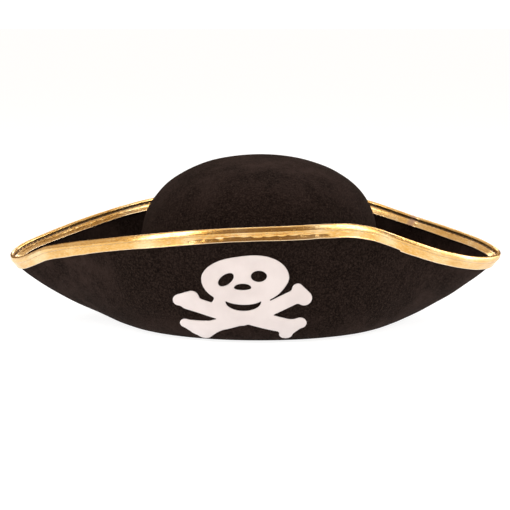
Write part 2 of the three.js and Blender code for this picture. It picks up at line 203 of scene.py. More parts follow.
class Flap:
    """The middle of the brim's felt from its fold to the rim, at a number of columns."""

    STEPS = 240

    def __init__(self, columns):
        self.columns = columns
        self.ones = np.ones((columns, 1))
        outer = resample_closed(stations_of("binding_needle_thread"), columns)
        inner = resample_closed(stations_of("binding_bobbin_thread"), columns)
        self.angle = in_plane((outer + inner) / 2)[0]
        outer, inner = (np.stack(in_plane(ring)[1:], axis=1) for ring in (outer, inner))
        normal = unit(inner - outer)
        self.upward = np.stack([normal[:, 1], -normal[:, 0]], axis=1)
        self.top = (outer + inner) / 2 + THREAD_DEPTH * self.upward
        self.make_curves()
        lengths = running_length(closed(polar(self.angle, self.top[:, 0], self.top[:, 1])))
        self.along = lengths[:-1]
        self.around = lengths[-1]

    def make_curves(self):
        start = np.stack([oval_radius(self.angle, -FOLD_WIDTH), np.full(self.columns, FELT / 2)], 1)
        length = np.linalg.norm(self.top - start, axis=1)[:, None]
        fullness = (np.abs(np.sin(self.angle)) ** 0.8)[:, None]
        leave = start + length * (0.16 + 0.16 * fullness) * np.array([1, 0])
        arrive = self.top - length * (0.2 + 0.2 * fullness) * self.upward
        t = np.linspace(0, 1, self.STEPS)[:, None]
        parts = [point[:, None, :] for point in (start, leave, arrive, self.top)]
        weights = ((1 - t) ** 3, 3 * t * (1 - t) ** 2, 3 * t * t * (1 - t), t ** 3)
        self.curve = sum(weight * part for weight, part in zip(weights, parts))
        self.climb = running_length(self.curve)
        self.length = self.climb[:, -1]
        self.slope = unit(np.gradient(self.curve, axis=1))

    def place(self, up, offset):
        """Points at distances up the flap, moved towards the crown by an offset.

        Both are arrays of one row for each column."""
        tables = np.concatenate([self.curve, self.slope], axis=2)
        parts = np.empty((4, *up.shape))
        for column in range(self.columns):
            for part in range(4):
                table = tables[column, :, part]
                parts[part, column] = np.interp(up[column], self.climb[column], table)
        radius, height, run, rise = parts
        return polar(self.angle[:, None], radius - rise * offset, height + run * offset)

    def near_rim(self, down, offset):
        """Points at depths below the top of the binding, with the same meaning of offset."""
        return self.place(self.length[:, None] - down, offset)

    def ripples(self, wavelength, seed, count=5):
        """Unevenness along the rim, one row for each column."""
        return ripples(self.along[:, None], wavelength, self.around, seed, count)

    def unevenness(self, up):
        """How far the pressed felt stands off its smooth shape; nothing at the fold and the rim."""
        share = up / self.length[:, None]
        points = self.place(up, np.zeros(up.shape))
        calm = smoothstep(0.02, 0.2, share) * smoothstep(0.98, 0.78, share)
        broad = 0.7 * MM * waves(points, wavelength=0.11, seed=3)
        small = 0.16 * MM * waves(points, wavelength=0.026, seed=4)
        return calm * (broad + small)


# ---- building meshes

def add_to_scene(name, data):
    thing = bpy.data.objects.new(name, data)
    bpy.context.scene.collection.objects.link(thing)
    return thing


def make_object(name, points, faces, material, uvs=None):
    mesh = bpy.data.meshes.new(name)
    mesh.from_pydata(points.tolist(), [], faces)
    if uvs is not None:
        layer = mesh.uv_layers.new(name="cloth")
        layer.data.foreach_set("uv", np.asarray(uvs, dtype=np.float32).ravel())
    mesh.validate()
    mesh.update()
    mesh.shade_smooth()
    mesh.materials.append(material)
    return add_to_scene(name, mesh)


def grid_faces(columns, rows, column_count, row_count):
    """Squares between the points of a grid [column, row]. It joins up where a count is the
    grid's own. Gives their corners, and the column and the row that each starts from."""
    column = np.repeat(np.arange(column_count), row_count)
    row = np.tile(np.arange(row_count), column_count)
    next_column = (column + 1) % columns
    next_row = (row + 1) % rows
    corners = np.stack([
        column * rows + row, next_column * rows + row,
        next_column * rows + next_row, column * rows + next_row,
    ], axis=1)
    return corners, column, row


def grid_uvs(column, row, along, across):
    """Places of the same squares' corners on the flat cloth."""
    u = along[np.stack([column, column + 1, column + 1, column], 1)]
    v = across[np.stack([row, row, row + 1, row + 1], 1)]
    return np.stack([u, v], axis=-1).reshape(-1, 2)


def ring_object(name, grid, material, along=None, across=None, poles=None):
    """A closed body from a grid of points [column, row]. Columns run round the hat. Rows join
    up too, unless the body ends in two poles."""
    columns, rows = grid.shape[:2]
    points = grid.reshape(-1, 3)
    row_count = rows if poles is None else rows - 1
    corners, column, row = grid_faces(columns, rows, columns, row_count)
    faces = corners.tolist()
    uvs = None
    if along is not None:
        closed_along = np.append(along, along[-1] + (along[-1] - along[-2]))
        uvs = grid_uvs(column, row, closed_along, np.append(across, across[-1]))
    if poles is not None:
        first = len(points)
        points = np.concatenate([points, np.array(poles)])
        for start in range(0, first, rows):
            after = (start + rows) % first
            faces.append([first, after, start])
            faces.append([first + 1, start + rows - 1, after + rows - 1])
    thing = make_object(name, points, faces, material, uvs)
    turn_outwards(thing)
    return thing


def turn_outwards(thing):
    """Flips the faces if they point into the body."""
    mesh = thing.data
    mesh.calc_loop_triangles()
    corners = np.array([triangle.vertices for triangle in mesh.loop_triangles])
    points = np.array([vertex.co for vertex in mesh.vertices])
    a, b, c = (points[corners[:, side]] for side in range(3))
    if np.einsum("ij,ij->i", a, np.cross(b, c)).sum() < 0:
        mesh.flip_normals()


def stitch_row(name, path, outward, pitch, length, radius, material):
    """Short rounded stitches along a closed path, sinking into the cloth at their ends."""
    path = closed(path)
    outward = closed(outward)
    along = running_length(path)
    count = round(along[-1] / pitch)
    stops = np.linspace(-1, 1, STITCH_RINGS)
    sink = radius * (1.7 * np.abs(stops) ** 3)
    girth = radius * np.sqrt(1 - 0.75 * stops ** 6)
    turn = 2 * math.pi * np.arange(STITCH_SIDES) / STITCH_SIDES
    corners, _, _ = grid_faces(STITCH_RINGS, STITCH_SIDES, STITCH_RINGS - 1, STITCH_SIDES)
    sleeve = corners[:, [0, 3, 2, 1]]
    start_cap = np.arange(STITCH_SIDES)[::-1]
    end_cap = (STITCH_RINGS - 1) * STITCH_SIDES + np.arange(STITCH_SIDES)
    points = []
    faces = []
    rng = np.random.default_rng(11)
    for stitch in range(count):
        middle = (stitch + 0.5 + rng.uniform(-0.06, 0.06)) * along[-1] / count
        place = np.mod(middle + stops * length / 2, along[-1])
        line, out = (
            np.stack([np.interp(place, along, values[:, axis]) for axis in range(3)], 1)
            for values in (path, outward))
        out = unit(out)
        ahead = unit(np.gradient(line, axis=0))
        side = unit(np.cross(ahead, out))
        line = line - out * sink[:, None]
        ring = np.cos(turn)[:, None] * side[:, None, :]
        ring = ring + np.sin(turn)[:, None] * out[:, None, :]
        points.append((line[:, None, :] + girth[:, None, None] * ring).reshape(-1, 3))
        base = stitch * STITCH_RINGS * STITCH_SIDES
        faces += (sleeve + base).tolist()
        faces += [(start_cap + base).tolist(), (end_cap + base).tolist()]
    return make_object(name, np.concatenate(points), faces, material)


# ---- materials

class Look:
    """A material's node tree, with short calls for the nodes that this hat needs."""

    def __init__(self, name):
        self.material = bpy.data.materials.new(name)
        self.material.use_nodes = True
        self.tree = self.material.node_tree

    def feed(self, socket, value):
        """Links a socket to an output, or sets its own number, vector or colour."""
        if hasattr(value, "links"):
            self.tree.links.new(value, socket)
        elif socket.type == "RGBA":
            socket.default_value = (*value, 1)
        else:
            socket.default_value = value

    def node(self, kind, inputs, **settings):
        """A new node, with what goes into its inputs, each by its name or number."""
        made = self.tree.nodes.new(kind)
        for key, value in settings.items():
            setattr(made, key, value)
        for key, value in inputs.items():
            self.feed(made.inputs[key], value)
        return made

    def place(self, scale=(1, 1, 1), source="Object"):
        """Coordinates stretched by three factors."""
        where = self.node("ShaderNodeTexCoord", {}).outputs[source]
        return self.node("ShaderNodeMapping", {"Vector": where, "Scale": scale}).outputs["Vector"]

    def noise(self, where, scale, detail=3, roughness=0.6, distortion=0):
        return self.node("ShaderNodeTexNoise", {
            "Vector": where, "Scale": scale, "Detail": detail, "Roughness": roughness,
            "Distortion": distortion,
        }).outputs["Fac"]

    def ramp(self, factor, *stops):
        """Colours or greys at places along a scale."""
        ramp = self.node("ShaderNodeValToRGB", {"Fac": factor})
        elements = ramp.color_ramp.elements
        while len(elements) < len(stops):
            elements.new(0.5)
        for element, (place, colour) in zip(elements, stops):
            element.position = place
            if not isinstance(colour, tuple):
                colour = (colour, colour, colour)
            element.color = (*colour, 1)
        return ramp.outputs["Color"]

    def mix(self, factor, first, second, blend="MIX"):
        inputs = {0: factor, 6: first, 7: second}
        return self.node("ShaderNodeMix", inputs, data_type="RGBA", blend_type=blend).outputs[2]

    def math(self, operation, first, second=0.0):
        return self.node("ShaderNodeMath", {0: first, 1: second}, operation=operation).outputs[0]

    def split(self, vector):
        """The three parts of a vector."""
        return self.node("ShaderNodeSeparateXYZ", {0: vector}).outputs

    def relief(self, height, distance, strength, under=None):
        inputs = {"Height": height, "Distance": distance, "Strength": strength}
        if under is not None:
            inputs["Normal"] = under
        return self.node("ShaderNodeBump", inputs).outputs["Normal"]

    def finish(self, colour, normal, **surface):
        """The material, with the other values of its surface."""
        surface.update(Base_Color=colour, Normal=normal)
        shader = self.tree.nodes["Principled BSDF"]
        for key, value in surface.items():
            self.feed(shader.inputs[key.replace("_", " ")], value)
        return self.material


def felt_look(name, seed):
    """Brown-black felt: matted fibres, some lint, patches paler towards the sides, and patches of
    painted light: paler at the foot for floor bounce and a painted sheen paler at the top."""
    look = Look(name)
    here = look.place()
    shift = (seed, 0.37 * seed, 0.61 * seed)
    where = look.node("ShaderNodeVectorMath", {0: here, 1: shift}, operation="ADD").outputs[0]
    fibres = look.noise(where, 1300, roughness=0.7, distortion=1)
    matting = look.noise(where, 700, roughness=0.75, distortion=0.6)
    patches = look.noise(where, 36, detail=6, roughness=0.78)
    base = look.ramp(matting, (0.36, (0.0022, 0.0012, 0.0008)), (0.5, (0.0095, 0.0056, 0.0042)),
                     (0.64, (0.025, 0.0163, 0.0129)))

    def zone(distance, scale, start, end):
        return look.ramp(look.math("MULTIPLY", distance, scale), start, end)

    across, _, height = look.split(here)
    # Paler towards the sides.
    sides = zone(look.math("ABSOLUTE", across), 5, (0.42, 0.2), (0.62, 1))
    # Painted light: the felt paler near the foot, for light bounced up from the floor.
    painted_floor_bounce = zone(height, 30, (0.1, 1), (0.75, 0))
    # Painted sheen: the felt paler towards the top, where the light falls.
    top = zone(height, 8, (0.6, 0), (0.95, 1))
    # Lightens the felt in patches where the sides are paler and where light is painted at the foot
    # and the top.
    sides_and_painted_light = look.mix(1, look.mix(1, sides, painted_floor_bounce, "LIGHTEN"), top, "LIGHTEN")
    patchy_sides_and_painted_light = look.mix(1, look.ramp(patches, (0.42, 0.05), (0.62, 0.9)), sides_and_painted_light, "MULTIPLY")
    colour = look.mix(patchy_sides_and_painted_light, base, (0.03, 0.0187, 0.0155))
    flecks = look.ramp(fibres, (0.56, 0), (0.7, 0.7))
    colour = look.mix(flecks, colour, (0.043, 0.03, 0.0255))
    pits = look.ramp(fibres, (0.3, 0.75), (0.42, 0))
    colour = look.mix(pits, colour, (0.004, 0.0026, 0.002))
    cells = look.node("ShaderNodeTexVoronoi", {"Vector": where, "Scale": 60}, feature="F1")
    near = look.ramp(cells.outputs["Distance"], (0.025, 1), (0.04, 0))
    picked = look.node("ShaderNodeSeparateColor", {0: cells.outputs["Color"]}).outputs[0]
    lint = look.math("MULTIPLY", near, look.math("GREATER_THAN", picked, 0.93))
    colour = look.mix(lint, colour, (0.2, 0.17, 0.155))
    broad = look.relief(matting, 0.5 * MM, 0.75)
    return look.finish(colour, look.relief(fibres, 0.25 * MM, 0.9, under=broad), Roughness=0.96,
                       Sheen_Weight=0.012, Sheen_Roughness=0.45, Sheen_Tint=(0.7, 0.42, 0.32),
                       Specular_IOR_Level=0.03)


def gold_look(painted_shade_lines, hems, join):
    """Gold lamé: a smooth metallic face with fine ribs, and dark red painted shade in its crease
    and groove.

    Each painted shade line is a place across the cloth, its half width and how dark it gets.
    The hems are places across it, each with a thin pale painted highlight. The join is a place
    along it, where a smudge shows."""
    look = Look("gold_binding")
    cloth = look.place(source="UV")

    def streaky(squeeze, scale, detail, roughness):
        """Noise squeezed across the cloth, so that it runs along it."""
        return look.noise(look.place((1, squeeze, 1), "UV"), scale, detail, roughness)

    crumple = streaky(2.6, 150, 2, 0.5)
    patches = streaky(1, 34, 2, 0.5)
    streaks = look.ramp(streaky(5, 48, 3, 0.55), (0.38, 0.55), (0.52, 0))
    threads = look.ramp(streaky(9, 260, 3, 0.7), (0.5, 0), (0.68, 0.5))
    broken = look.ramp(streaky(0.3, 220, 2, 0.6), (0.34, 0.55), (0.52, 1))
    colour = look.ramp(patches, (0.34, (0.68, 0.36, 0.065)), (0.5, (0.78, 0.46, 0.13)),
                       (0.66, (0.87, 0.62, 0.3)))
    colour = look.mix(streaks, colour, (0.64, 0.33, 0.05))
    colour = look.mix(threads, colour, (0.95, 0.84, 0.58))

    def mark(way, place, half, start, end):
        """How strong an uneven mark is about a place, with its distances as shares of half."""
        distance = look.math("ABSOLUTE", look.math("SUBTRACT", way, place))
        line = look.ramp(look.math("DIVIDE", distance, half), start, end)
        return look.mix(1, line, broken, "MULTIPLY")

    along, across, _ = look.split(cloth)
    # The colour of the painted shade in the crease and the groove.
    dark = (0.12, 0.04, 0.006)
    # The colour of the painted highlight along the hems.
    painted_hem_highlight = (0.95, 0.8, 0.62)
    lines = [(*line, dark) for line in painted_shade_lines] + [(hem, HEM_HIGHLIGHT_WIDTH, 0.75, painted_hem_highlight) for hem in hems]
    for place, half, strength, tint in lines:
        colour = look.mix(mark(across, place, half, (0.3, strength), (1, 0)), colour, tint)
    smudge = mark(along, join, JOIN_WIDTH, (0.25, 0.75), (0.6, 0))
    colour = look.mix(smudge, colour, (0.5, 0.3, 0.2))
    ribs = look.node("ShaderNodeTexWave", {"Vector": cloth, "Scale": 700, "Distortion": 1.5},
                     wave_type="BANDS", bands_direction="X").outputs["Fac"]
    broad = look.relief(crumple, 0.22 * MM, 0.15)
    fine = look.relief(ribs, 0.03 * MM, 0.2, under=broad)
    return look.finish(colour, fine, Roughness=look.ramp(crumple, (0.3, 0.2), (0.7, 0.28)),
                       Metallic=0.88, Coat_Weight=0.45, Coat_IOR=1.5, Coat_Roughness=0.16)


def thread_look(name, colour, shade):
    """Twisted sewing thread."""
    look = Look(name)
    twist = look.noise(look.place(), 2600, detail=2)
    tint = look.ramp(twist, (0.35, shade), (0.65, colour))
    relief = look.relief(twist, 0.1 * MM, 0.7)
    return look.finish(tint, relief, Roughness=0.55, Sheen_Weight=0.2)


def white_look():
    """Smooth white cut-out cloth, a little pink, with a faint grain."""
    look = Look("white_applique")
    where = look.place()
    mottling = look.noise(where, 70, roughness=0.5)
    grain = look.noise(where, 1400, detail=2)
    tint = look.ramp(mottling, (0.35, (0.69, 0.62, 0.6)), (0.68, (0.75, 0.68, 0.66)))
    broad = look.relief(mottling, 0.4 * MM, 0.3)
    return look.finish(tint, look.relief(grain, 0.06 * MM, 0.5, under=broad), Roughness=0.55,
                       Specular_IOR_Level=0.35, Sheen_Weight=0.1)


def woven_look(name, pitch, dark, light, gloss, depth):
    """Plain weave: two sets of yarns that cross over and under."""
    look = Look(name)
    cloth = look.place(source="UV")
    along, across, _ = look.split(cloth)
    turns = 2 * math.pi / pitch
    warp, weft = (look.math("SINE", look.math("MULTIPLY", way, turns)) for way in (along, across))
    crossing = look.math("MULTIPLY", warp, weft)
    height = look.math("ADD", look.math("MULTIPLY", crossing, 0.5), 0.5)
    slubs = look.ramp(look.noise(cloth, 300), (0.3, 0), (0.7, 1))
    shade = look.ramp(height, (0, 0.65), (1, 1))
    colour = look.mix(1, look.mix(slubs, dark, light), shade, "MULTIPLY")
    return look.finish(colour, look.relief(height, depth, 0.8), Roughness=gloss,
                       Sheen_Weight=0.25, Sheen_Roughness=0.5)


def wire_look(name, tint, scratch):
    """Drawn metal with fine marks."""
    look = Look(name)
    marks = look.noise(look.place((1, 1, 6)), 500)
    colour = look.ramp(marks, (0.3, scratch), (0.7, tint))
    rough = look.ramp(marks, (0.3, 0.28), (0.7, 0.48))
    return look.finish(colour, look.relief(marks, 0.03 * MM, 0.4), Roughness=rough, Metallic=1)


def floor_look():
    """Pale studio acrylic lit from below, with hardly visible grain."""
    look = Look("studio_floor")
    grain = look.noise(look.place(), 40)
    colour = look.ramp(grain, (0.3, 0.3), (0.7, 0.32))
    return look.finish(colour, look.relief(grain, 0.1 * MM, 0.1), Roughness=0.9,
                       Specular_IOR_Level=0.1, Emission_Strength=0.88, Emission_Color=(1, 1, 1))


# ---- crown and brim

def crown_surface(angle, inset, rows):
    """One face of the crown, from its lower edge to just short of its peak."""
    top = CROWN_TOP - inset
    wall = np.linspace(CROWN_BASE, CROWN_WALL_TOP, rows // 4, endpoint=False)
    climb = np.linspace(0, 1, rows - len(wall) + 1)[:-1] ** 1.4 * math.pi / 2
    squareness = CROWN_SQUARENESS + RIGHT_SHOULDER_FULLNESS * ((1 + np.cos(angle)) / 2) ** 2
    rise = np.sin(climb) ** (2 / squareness[:, None])
    dome = CROWN_WALL_TOP + (top - CROWN_WALL_TOP) * rise
    height = np.concatenate([np.broadcast_to(wall, (len(angle), len(wall))), dome], axis=1)
    share = np.concatenate([np.ones(len(wall)), np.cos(climb)])
    radius = oval_radius(angle, inset)[:, None] * share
    return polar(angle[:, None], radius, height)


def crown_swell(points):
    """How far the crown's broad unevenness stands off its smooth shape."""
    return 0.45 * MM * waves(points, wavelength=0.09, seed=7)


def make_crown(flap, material):
    outer = crown_surface(flap.angle, 0, CROWN_OUTER_ROWS)[:, ::-1]
    inner = crown_surface(flap.angle, FELT, CROWN_INNER_ROWS)
    middle = np.array([0, 0, 0.4 * CROWN_TOP])
    for face in (outer, inner):
        share = smoothstep(CROWN_BASE, CROWN_WALL_TOP, face[..., 2])
        lift = crown_swell(face) + 0.12 * MM * waves(face, wavelength=0.022, seed=8)
        face += unit(face - middle) * (share * lift)[..., None]
    grid = np.concatenate([outer, inner], axis=1)
    top = CROWN_TOP + crown_swell(np.array([0, 0, CROWN_TOP]))
    crown = ring_object("crown_felt", grid, material, poles=[(0, 0, top), (0, 0, top - FELT)])
    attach(crown, "root")
    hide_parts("crown")


def make_brim(flap, material):
    pinched_edge = 5 * MM
    pinched = 0.4 * MM
    half = FELT / 2
    rows = 64
    length = flap.length[:, None]
    up = (length - pinched_edge) * np.linspace(0, 1, rows) ** 1.15
    up = np.concatenate([up, length - np.array([4.2, 3.4, 2.8]) * MM], axis=1)
    half_thickness = np.append(np.full(rows, half), [0.6 * half, pinched, pinched])
    lift = flap.unevenness(up)
    outer = flap.place(up, lift - half_thickness)
    inner = flap.place(up, lift + half_thickness)[:, ::-1]
    clearance = 0.3 * MM
    corner = 0.5 * MM
    collar_inside = oval_radius(flap.angle, FELT + COLLAR_OUTER - COLLAR_INNER + clearance)
    collar_outside = oval_radius(flap.angle, FELT + clearance)
    turns = [
        (collar_outside, FELT), (collar_outside, 0.5 * COLLAR_TOP),
        (collar_outside, COLLAR_TOP - corner), (collar_outside - corner, COLLAR_TOP),
        (collar_inside + corner, COLLAR_TOP), (collar_inside, COLLAR_TOP - corner),
        (collar_inside, 0.5 * COLLAR_TOP), (collar_inside, corner),
        (collar_inside + corner, 0.0),
    ]
    collar = np.stack([polar(flap.angle, radius, height) for radius, height in turns], axis=1)
    grid = np.concatenate([outer, inner, collar], axis=1)
    brim = ring_object("brim_felt", grid, material)
    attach(brim, "root")
    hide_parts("brim")


# ---- edge binding

JOIN_ANGLE = math.radians(33.5)
JOIN_WIDTH = 9 * MM
# Half width of the painted highlight along each hem.
HEM_HIGHLIGHT_WIDTH = 0.8 * MM
BIAS_SEAM_ANGLE = math.radians(-47)
STITCH_PITCH = 4.6 * MM
CREASE_DEPTH = 4.1 * MM
ROLL_FULLNESS = 1.1 * MM
LEG_STANDOFF = 2.2 * MM
CLOTH = 0.5 * MM
OUTER_BEAD_POINTS = 7
INNER_BEAD_POINTS = 9
ROLL_POINTS = 9
OUTER_LEG_POINTS = 17


def path_place(flap, angle):
    """How far along the rim an angle lies."""
    turned = np.abs(np.angle(np.exp(1j * (flap.angle - angle))))
    return flap.along[np.argmin(turned)]


def signed_way(flap, place):
    """Distance along the rim from a place, positive and negative."""
    half = flap.around / 2
    return (flap.along - place + half) % flap.around - half


def bead_face(flap, degrees, count):
    """The binding's roll over the wire, from its top down by an angle, as a number of points."""
    turn = np.radians(np.linspace(0, degrees, count))
    swell = 1 + 0.02 * flap.ripples(0.03, 51, 7)
    return BEAD_RADIUS * (1 - np.cos(turn) * swell), BEAD_RADIUS * swell * np.sin(turn)


def outer_face(flap, length):
    """The outside of the binding from its top down: a full roll over the wire, a stitched
    crease, and a crumpled leg that ends in a folded hem. Depths and distances from the felt."""
    bead_depth, bead_out = bead_face(flap, 64, OUTER_BEAD_POINTS)
    share = np.linspace(0, 1, ROLL_POINTS + 1)[1:]
    roll_depth = bead_depth[:, -1:] + (CREASE_DEPTH - bead_depth[:, -1:]) * share
    fullness = ROLL_FULLNESS * (1 + 0.1 * flap.ripples(0.07, 52))
    roll_out = bead_out[:, -1:] + fullness * np.sin(0.5 * math.pi * np.minimum(share / 0.82, 1))
    roll_out = roll_out - 0.45 * MM * smoothstep(0.8, 1, share)
    share = np.linspace(0, 1, OUTER_LEG_POINTS + 1)[1:]
    leg_depth = CREASE_DEPTH + (length - CREASE_DEPTH) * share
    leg = LEG_STANDOFF / MM * (0.82 + 0.18 * smoothstep(0, 0.14, share))
    front = smoothstep(0.925, 0.972, -np.sin(flap.angle))[:, None]
    wander = 0.33 + 0.04 * flap.ripples(0.05, 31) + 0.05 * flap.ripples(0.012, 35)
    strength = (0.12 + 0.95 * front) * (1 + 0.2 * flap.ripples(0.018, 32, 7))
    hollow = smoothstep(0, 1, share / wander) * smoothstep(0.9, wander, share)
    leg = leg - strength * hollow + 0.22 * bump(share, 0.92, 0.12)
    leg = leg + 0.1 * front * flap.ripples(0.008, 33, 8) * bump(share, 0.45, 0.35)
    leg = leg + 0.07 * flap.ripples(0.035, 34, 6) * smoothstep(0, 0.3, share)
    depth = np.concatenate([bead_depth, roll_depth, leg_depth], axis=1)
    return depth, np.concatenate([bead_out, roll_out, leg * MM], axis=1)


def inner_face(flap, length):
    """The inside of the binding from its top down: a bead, a deep stitched groove and a leg."""
    bead_depth, bead_out = bead_face(flap, 128, INNER_BEAD_POINTS)
    share = np.linspace(0, 1, 14)
    leg_depth = THREAD_DEPTH + (length - THREAD_DEPTH) * share
    leg = 0.9 + 0.9 * smoothstep(0, 0.25, share) + 1.1 * smoothstep(0.2, 1, share)
    leg = leg + 0.2 * bump(share, 0.92, 0.13)
    leg = leg + 0.05 * flap.ripples(0.008, 43, 8) * bump(share, 0.15, 0.35)
    leg = leg + 0.06 * flap.ripples(0.035, 44, 6) * smoothstep(0, 0.3, share)
    depth = np.concatenate([bead_depth, leg_depth], axis=1)
    return depth, np.concatenate([bead_out, leg * MM], axis=1)


def make_binding(flap):
    join_place = path_place(flap, JOIN_ANGLE)
    seam_way = signed_way(flap, path_place(flap, BIAS_SEAM_ANGLE))[:, None]
    step = np.where(seam_way > 0, 0.9 * MM * np.exp(-np.abs(seam_way) / 0.035), 0.0)
    outer_length = OUTER_LEG + 0.25 * MM * flap.ripples(0.13, 21)
    outer_length = outer_length + 0.06 * MM * flap.ripples(0.02, 22) + step
    inner_length = INNER_LEG + 0.3 * MM * flap.ripples(0.11, 23)
    outer_depth, outer_out = outer_face(flap, outer_length)
    inner_depth, inner_out = inner_face(flap, inner_length)
    lap_way = signed_way(flap, join_place)[:, None] + JOIN_WIDTH / 2
    lap = CLOTH * smoothstep(-0.6 * MM, 0.6 * MM, lap_way)
    lap = lap * smoothstep(JOIN_WIDTH, 0.4 * JOIN_WIDTH, lap_way)
    ridge = 0.2 * MM * bump(seam_way + 0.6 * (outer_depth - THREAD_DEPTH), 0, 1.6 * MM)
    outer_out = outer_out + (lap + ridge) * smoothstep(0, BEAD_RADIUS, outer_depth)
    inner_out = inner_out + lap * smoothstep(0, BEAD_RADIUS, inner_depth)

    pinched_half = 0.55 * MM
    felt_half = FELT / 2 + 0.15 * MM
    share = np.linspace(0, 1, 5)
    widening = pinched_half + (felt_half - pinched_half) * smoothstep(0, 0.4, share)
    inside_out = flap.ones * widening
    turn = np.radians(np.linspace(-115, 115, 9))
    tube = BEAD_RADIUS - CLOTH - 0.1 * MM
    tube_depth = flap.ones * (WIRE_DEPTH - tube * np.cos(turn))
    tube_out = flap.ones * tube * np.sin(turn)
    inner_inside = THREAD_DEPTH + (inner_length - 0.3 * MM - THREAD_DEPTH) * share
    outer_inside = THREAD_DEPTH + (outer_length - 0.3 * MM - THREAD_DEPTH) * share
    hem = 0.45 * CLOTH
    depth = np.concatenate([
        outer_length - 0.1 * MM, outer_depth[:, :0:-1], inner_depth, inner_length - 0.1 * MM,
        inner_inside[:, ::-1], tube_depth, outer_inside,
    ], axis=1)
    offset = np.concatenate([
        -outer_out[:, -1:] + hem, -outer_out[:, :0:-1], inner_out, inner_out[:, -1:] - hem,
        inside_out[:, ::-1], tube_out[:, ::-1], -inside_out,
    ], axis=1)
    grid = flap.near_rim(depth, offset)
    across = running_length(grid[0])
    outer_rows = outer_depth.shape[1]
    crease = across[outer_rows + 1 - OUTER_BEAD_POINTS - ROLL_POINTS]
    groove = across[outer_rows + INNER_BEAD_POINTS]
    # Places of the hems, where a thin painted highlight runs.
    hems = (across[1], across[outer_rows + inner_depth.shape[1] - 1])
    # Painted shade along the stitched crease and, darker, in the groove.
    painted_shade_lines = [(crease, 0.7 * MM, 0.16), (groove, 1.1 * MM, 0.8)]
    material = gold_look(painted_shade_lines, hems, join_place)
    binding = ring_object("edge_binding_lame", grid, material, flap.along, across)
    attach(binding, "root")
    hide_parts("edge_binding")


def make_binding_stitches(flap, name, node, side, depth, out, material):
    """One row of lockstitches in a groove of the binding. Side is -1 outside and 1 inside."""
    path, further = (
        flap.near_rim(depth * flap.ones, side * distance * flap.ones)[:, 0]
        for distance in (out, out + MM))
    stitches = stitch_row(name, path, unit(further - path), STITCH_PITCH, 0.82 * STITCH_PITCH,
                          0.24 * MM, material)
    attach(stitches, "root")
    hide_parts(node)


# ---- skull and crossed bones

EMBLEM_MIDDLE = -10.9 * MM
EMBLEM_REACH = 52 * MM
EMBLEM_FOOT = 6 * MM
EMBLEM_HEAD = 80 * MM
EMBLEM_PITCH = 0.55 * MM


def oval_field(x, y, middle, half, lower=None, tilt=0.0):
    """Roughly the distance outside an oval, negative inside; the lower half may be longer."""
    right = (x - middle[0]) * math.cos(tilt) + (y - middle[1]) * math.sin(tilt)
    up = (y - middle[1]) * math.cos(tilt) - (x - middle[0]) * math.sin(tilt)
    tall = np.where(up > 0, half[1], half[1] if lower is None else lower)
    reach = np.hypot(right / half[0], up / tall)
    slope = np.hypot(right / half[0] ** 2, up / tall ** 2)
    return reach * (reach - 1) / np.maximum(slope, 1e-9)


def band_field(x, y, start, end):
    """Distance outside a band with round ends, each given as its middle and its size."""
    run = np.array(end[:2]) - np.array(start[:2])
    distance = math.hypot(*run)
    ahead = run / distance
    along = (x - start[0]) * ahead[0] + (y - start[1]) * ahead[1]
    aside = np.abs((x - start[0]) * ahead[1] - (y - start[1]) * ahead[0])
    taper = (start[2] - end[2]) / distance
    level = math.sqrt(1 - taper ** 2)
    reach = along * level - aside * taper
    near_start = np.hypot(along, aside) - start[2]
    near_end = np.hypot(along - distance, aside) - end[2]
    beside = aside * level + along * taper - start[2]
    return np.where(reach < 0, near_start, np.where(reach > level * distance, near_end, beside))


def blend_fields(first, second, radius):
    """The union of two shapes, with the corner between them filled to a radius."""
    share = np.clip(0.5 + 0.5 * (second - first) / radius, 0, 1)
    return second + (first - second) * share - radius * share * (1 - share)


# The four arms of the crossed bones, in millimetres from the middle of the skull and up the
# flap. The first band of each is its shaft, and the others are the knuckles at its end.
BONE_ARMS = [
    [((0, 30, 5.2), (-37, 42, 5.4)), ((-43.2, 43.6, 4.2), (-34.5, 45.6, 5))],
    [((8, 32.8, 5.1), (34, 45.6, 5.1)), ((41.5, 45, 5.2), (37, 51.8, 3.8))],
    [
        ((0, 30.4, 4.9), (-30, 20.4, 5)),
        ((-39.3, 25.4, 3), (-26, 23.2, 4.6)),
        ((-39.3, 25.4, 3), (-25.6, 14.9, 3.8)),
        ((-25.6, 14.9, 3.8), (-19, 23, 4.5)),
    ],
    [
        ((0, 33, 5.8), (32, 23.5, 5.8)),
        ((38.8, 26.5, 4.4), (32, 24, 4.4)),
        ((29.2, 17, 4.5), (30, 22, 4.5)),
    ],
]


def emblem_field(x, y):
    """Negative on the cloth of the skull and bones. x runs across and y up the flap."""
    x = (x - EMBLEM_MIDDLE) / MM
    y = y / MM
    skull = oval_field(x, y, (1, 59.2), (28.8, 16), lower=18.2)
    brow = oval_field(x, y, (8.5, 60), (22.6, 16), lower=11.5)
    jaw = oval_field(x, y, (-1.2, 39), (20, 14), lower=11)
    shape = blend_fields(blend_fields(skull, brow, 2), jaw, 2)
    for arm in BONE_ARMS:
        bone = band_field(x, y, *arm[0])
        for band in arm[1:]:
            bone = blend_fields(bone, band_field(x, y, *band), 2)
        shape = blend_fields(shape, bone, 0.8)
    left_eye = oval_field(x, y, (-11.2, 59), (6.2, 3.5), tilt=0.68)
    right_eye = oval_field(x, y, (10.9, 61.3), (5.4, 4))
    nose = oval_field(x, y, (0, 53.2), (5.8, 3), lower=1.6)
    upper_lip = oval_field(x, y, (0.4, 46.1), (13.6, 5.1))
    smile = np.maximum(oval_field(x, y, (0.4, 43.2), (12, 6.8)), -upper_lip)
    for hole in (left_eye, right_eye, nose, smile):
        shape = np.maximum(shape, -hole)
    return shape * MM


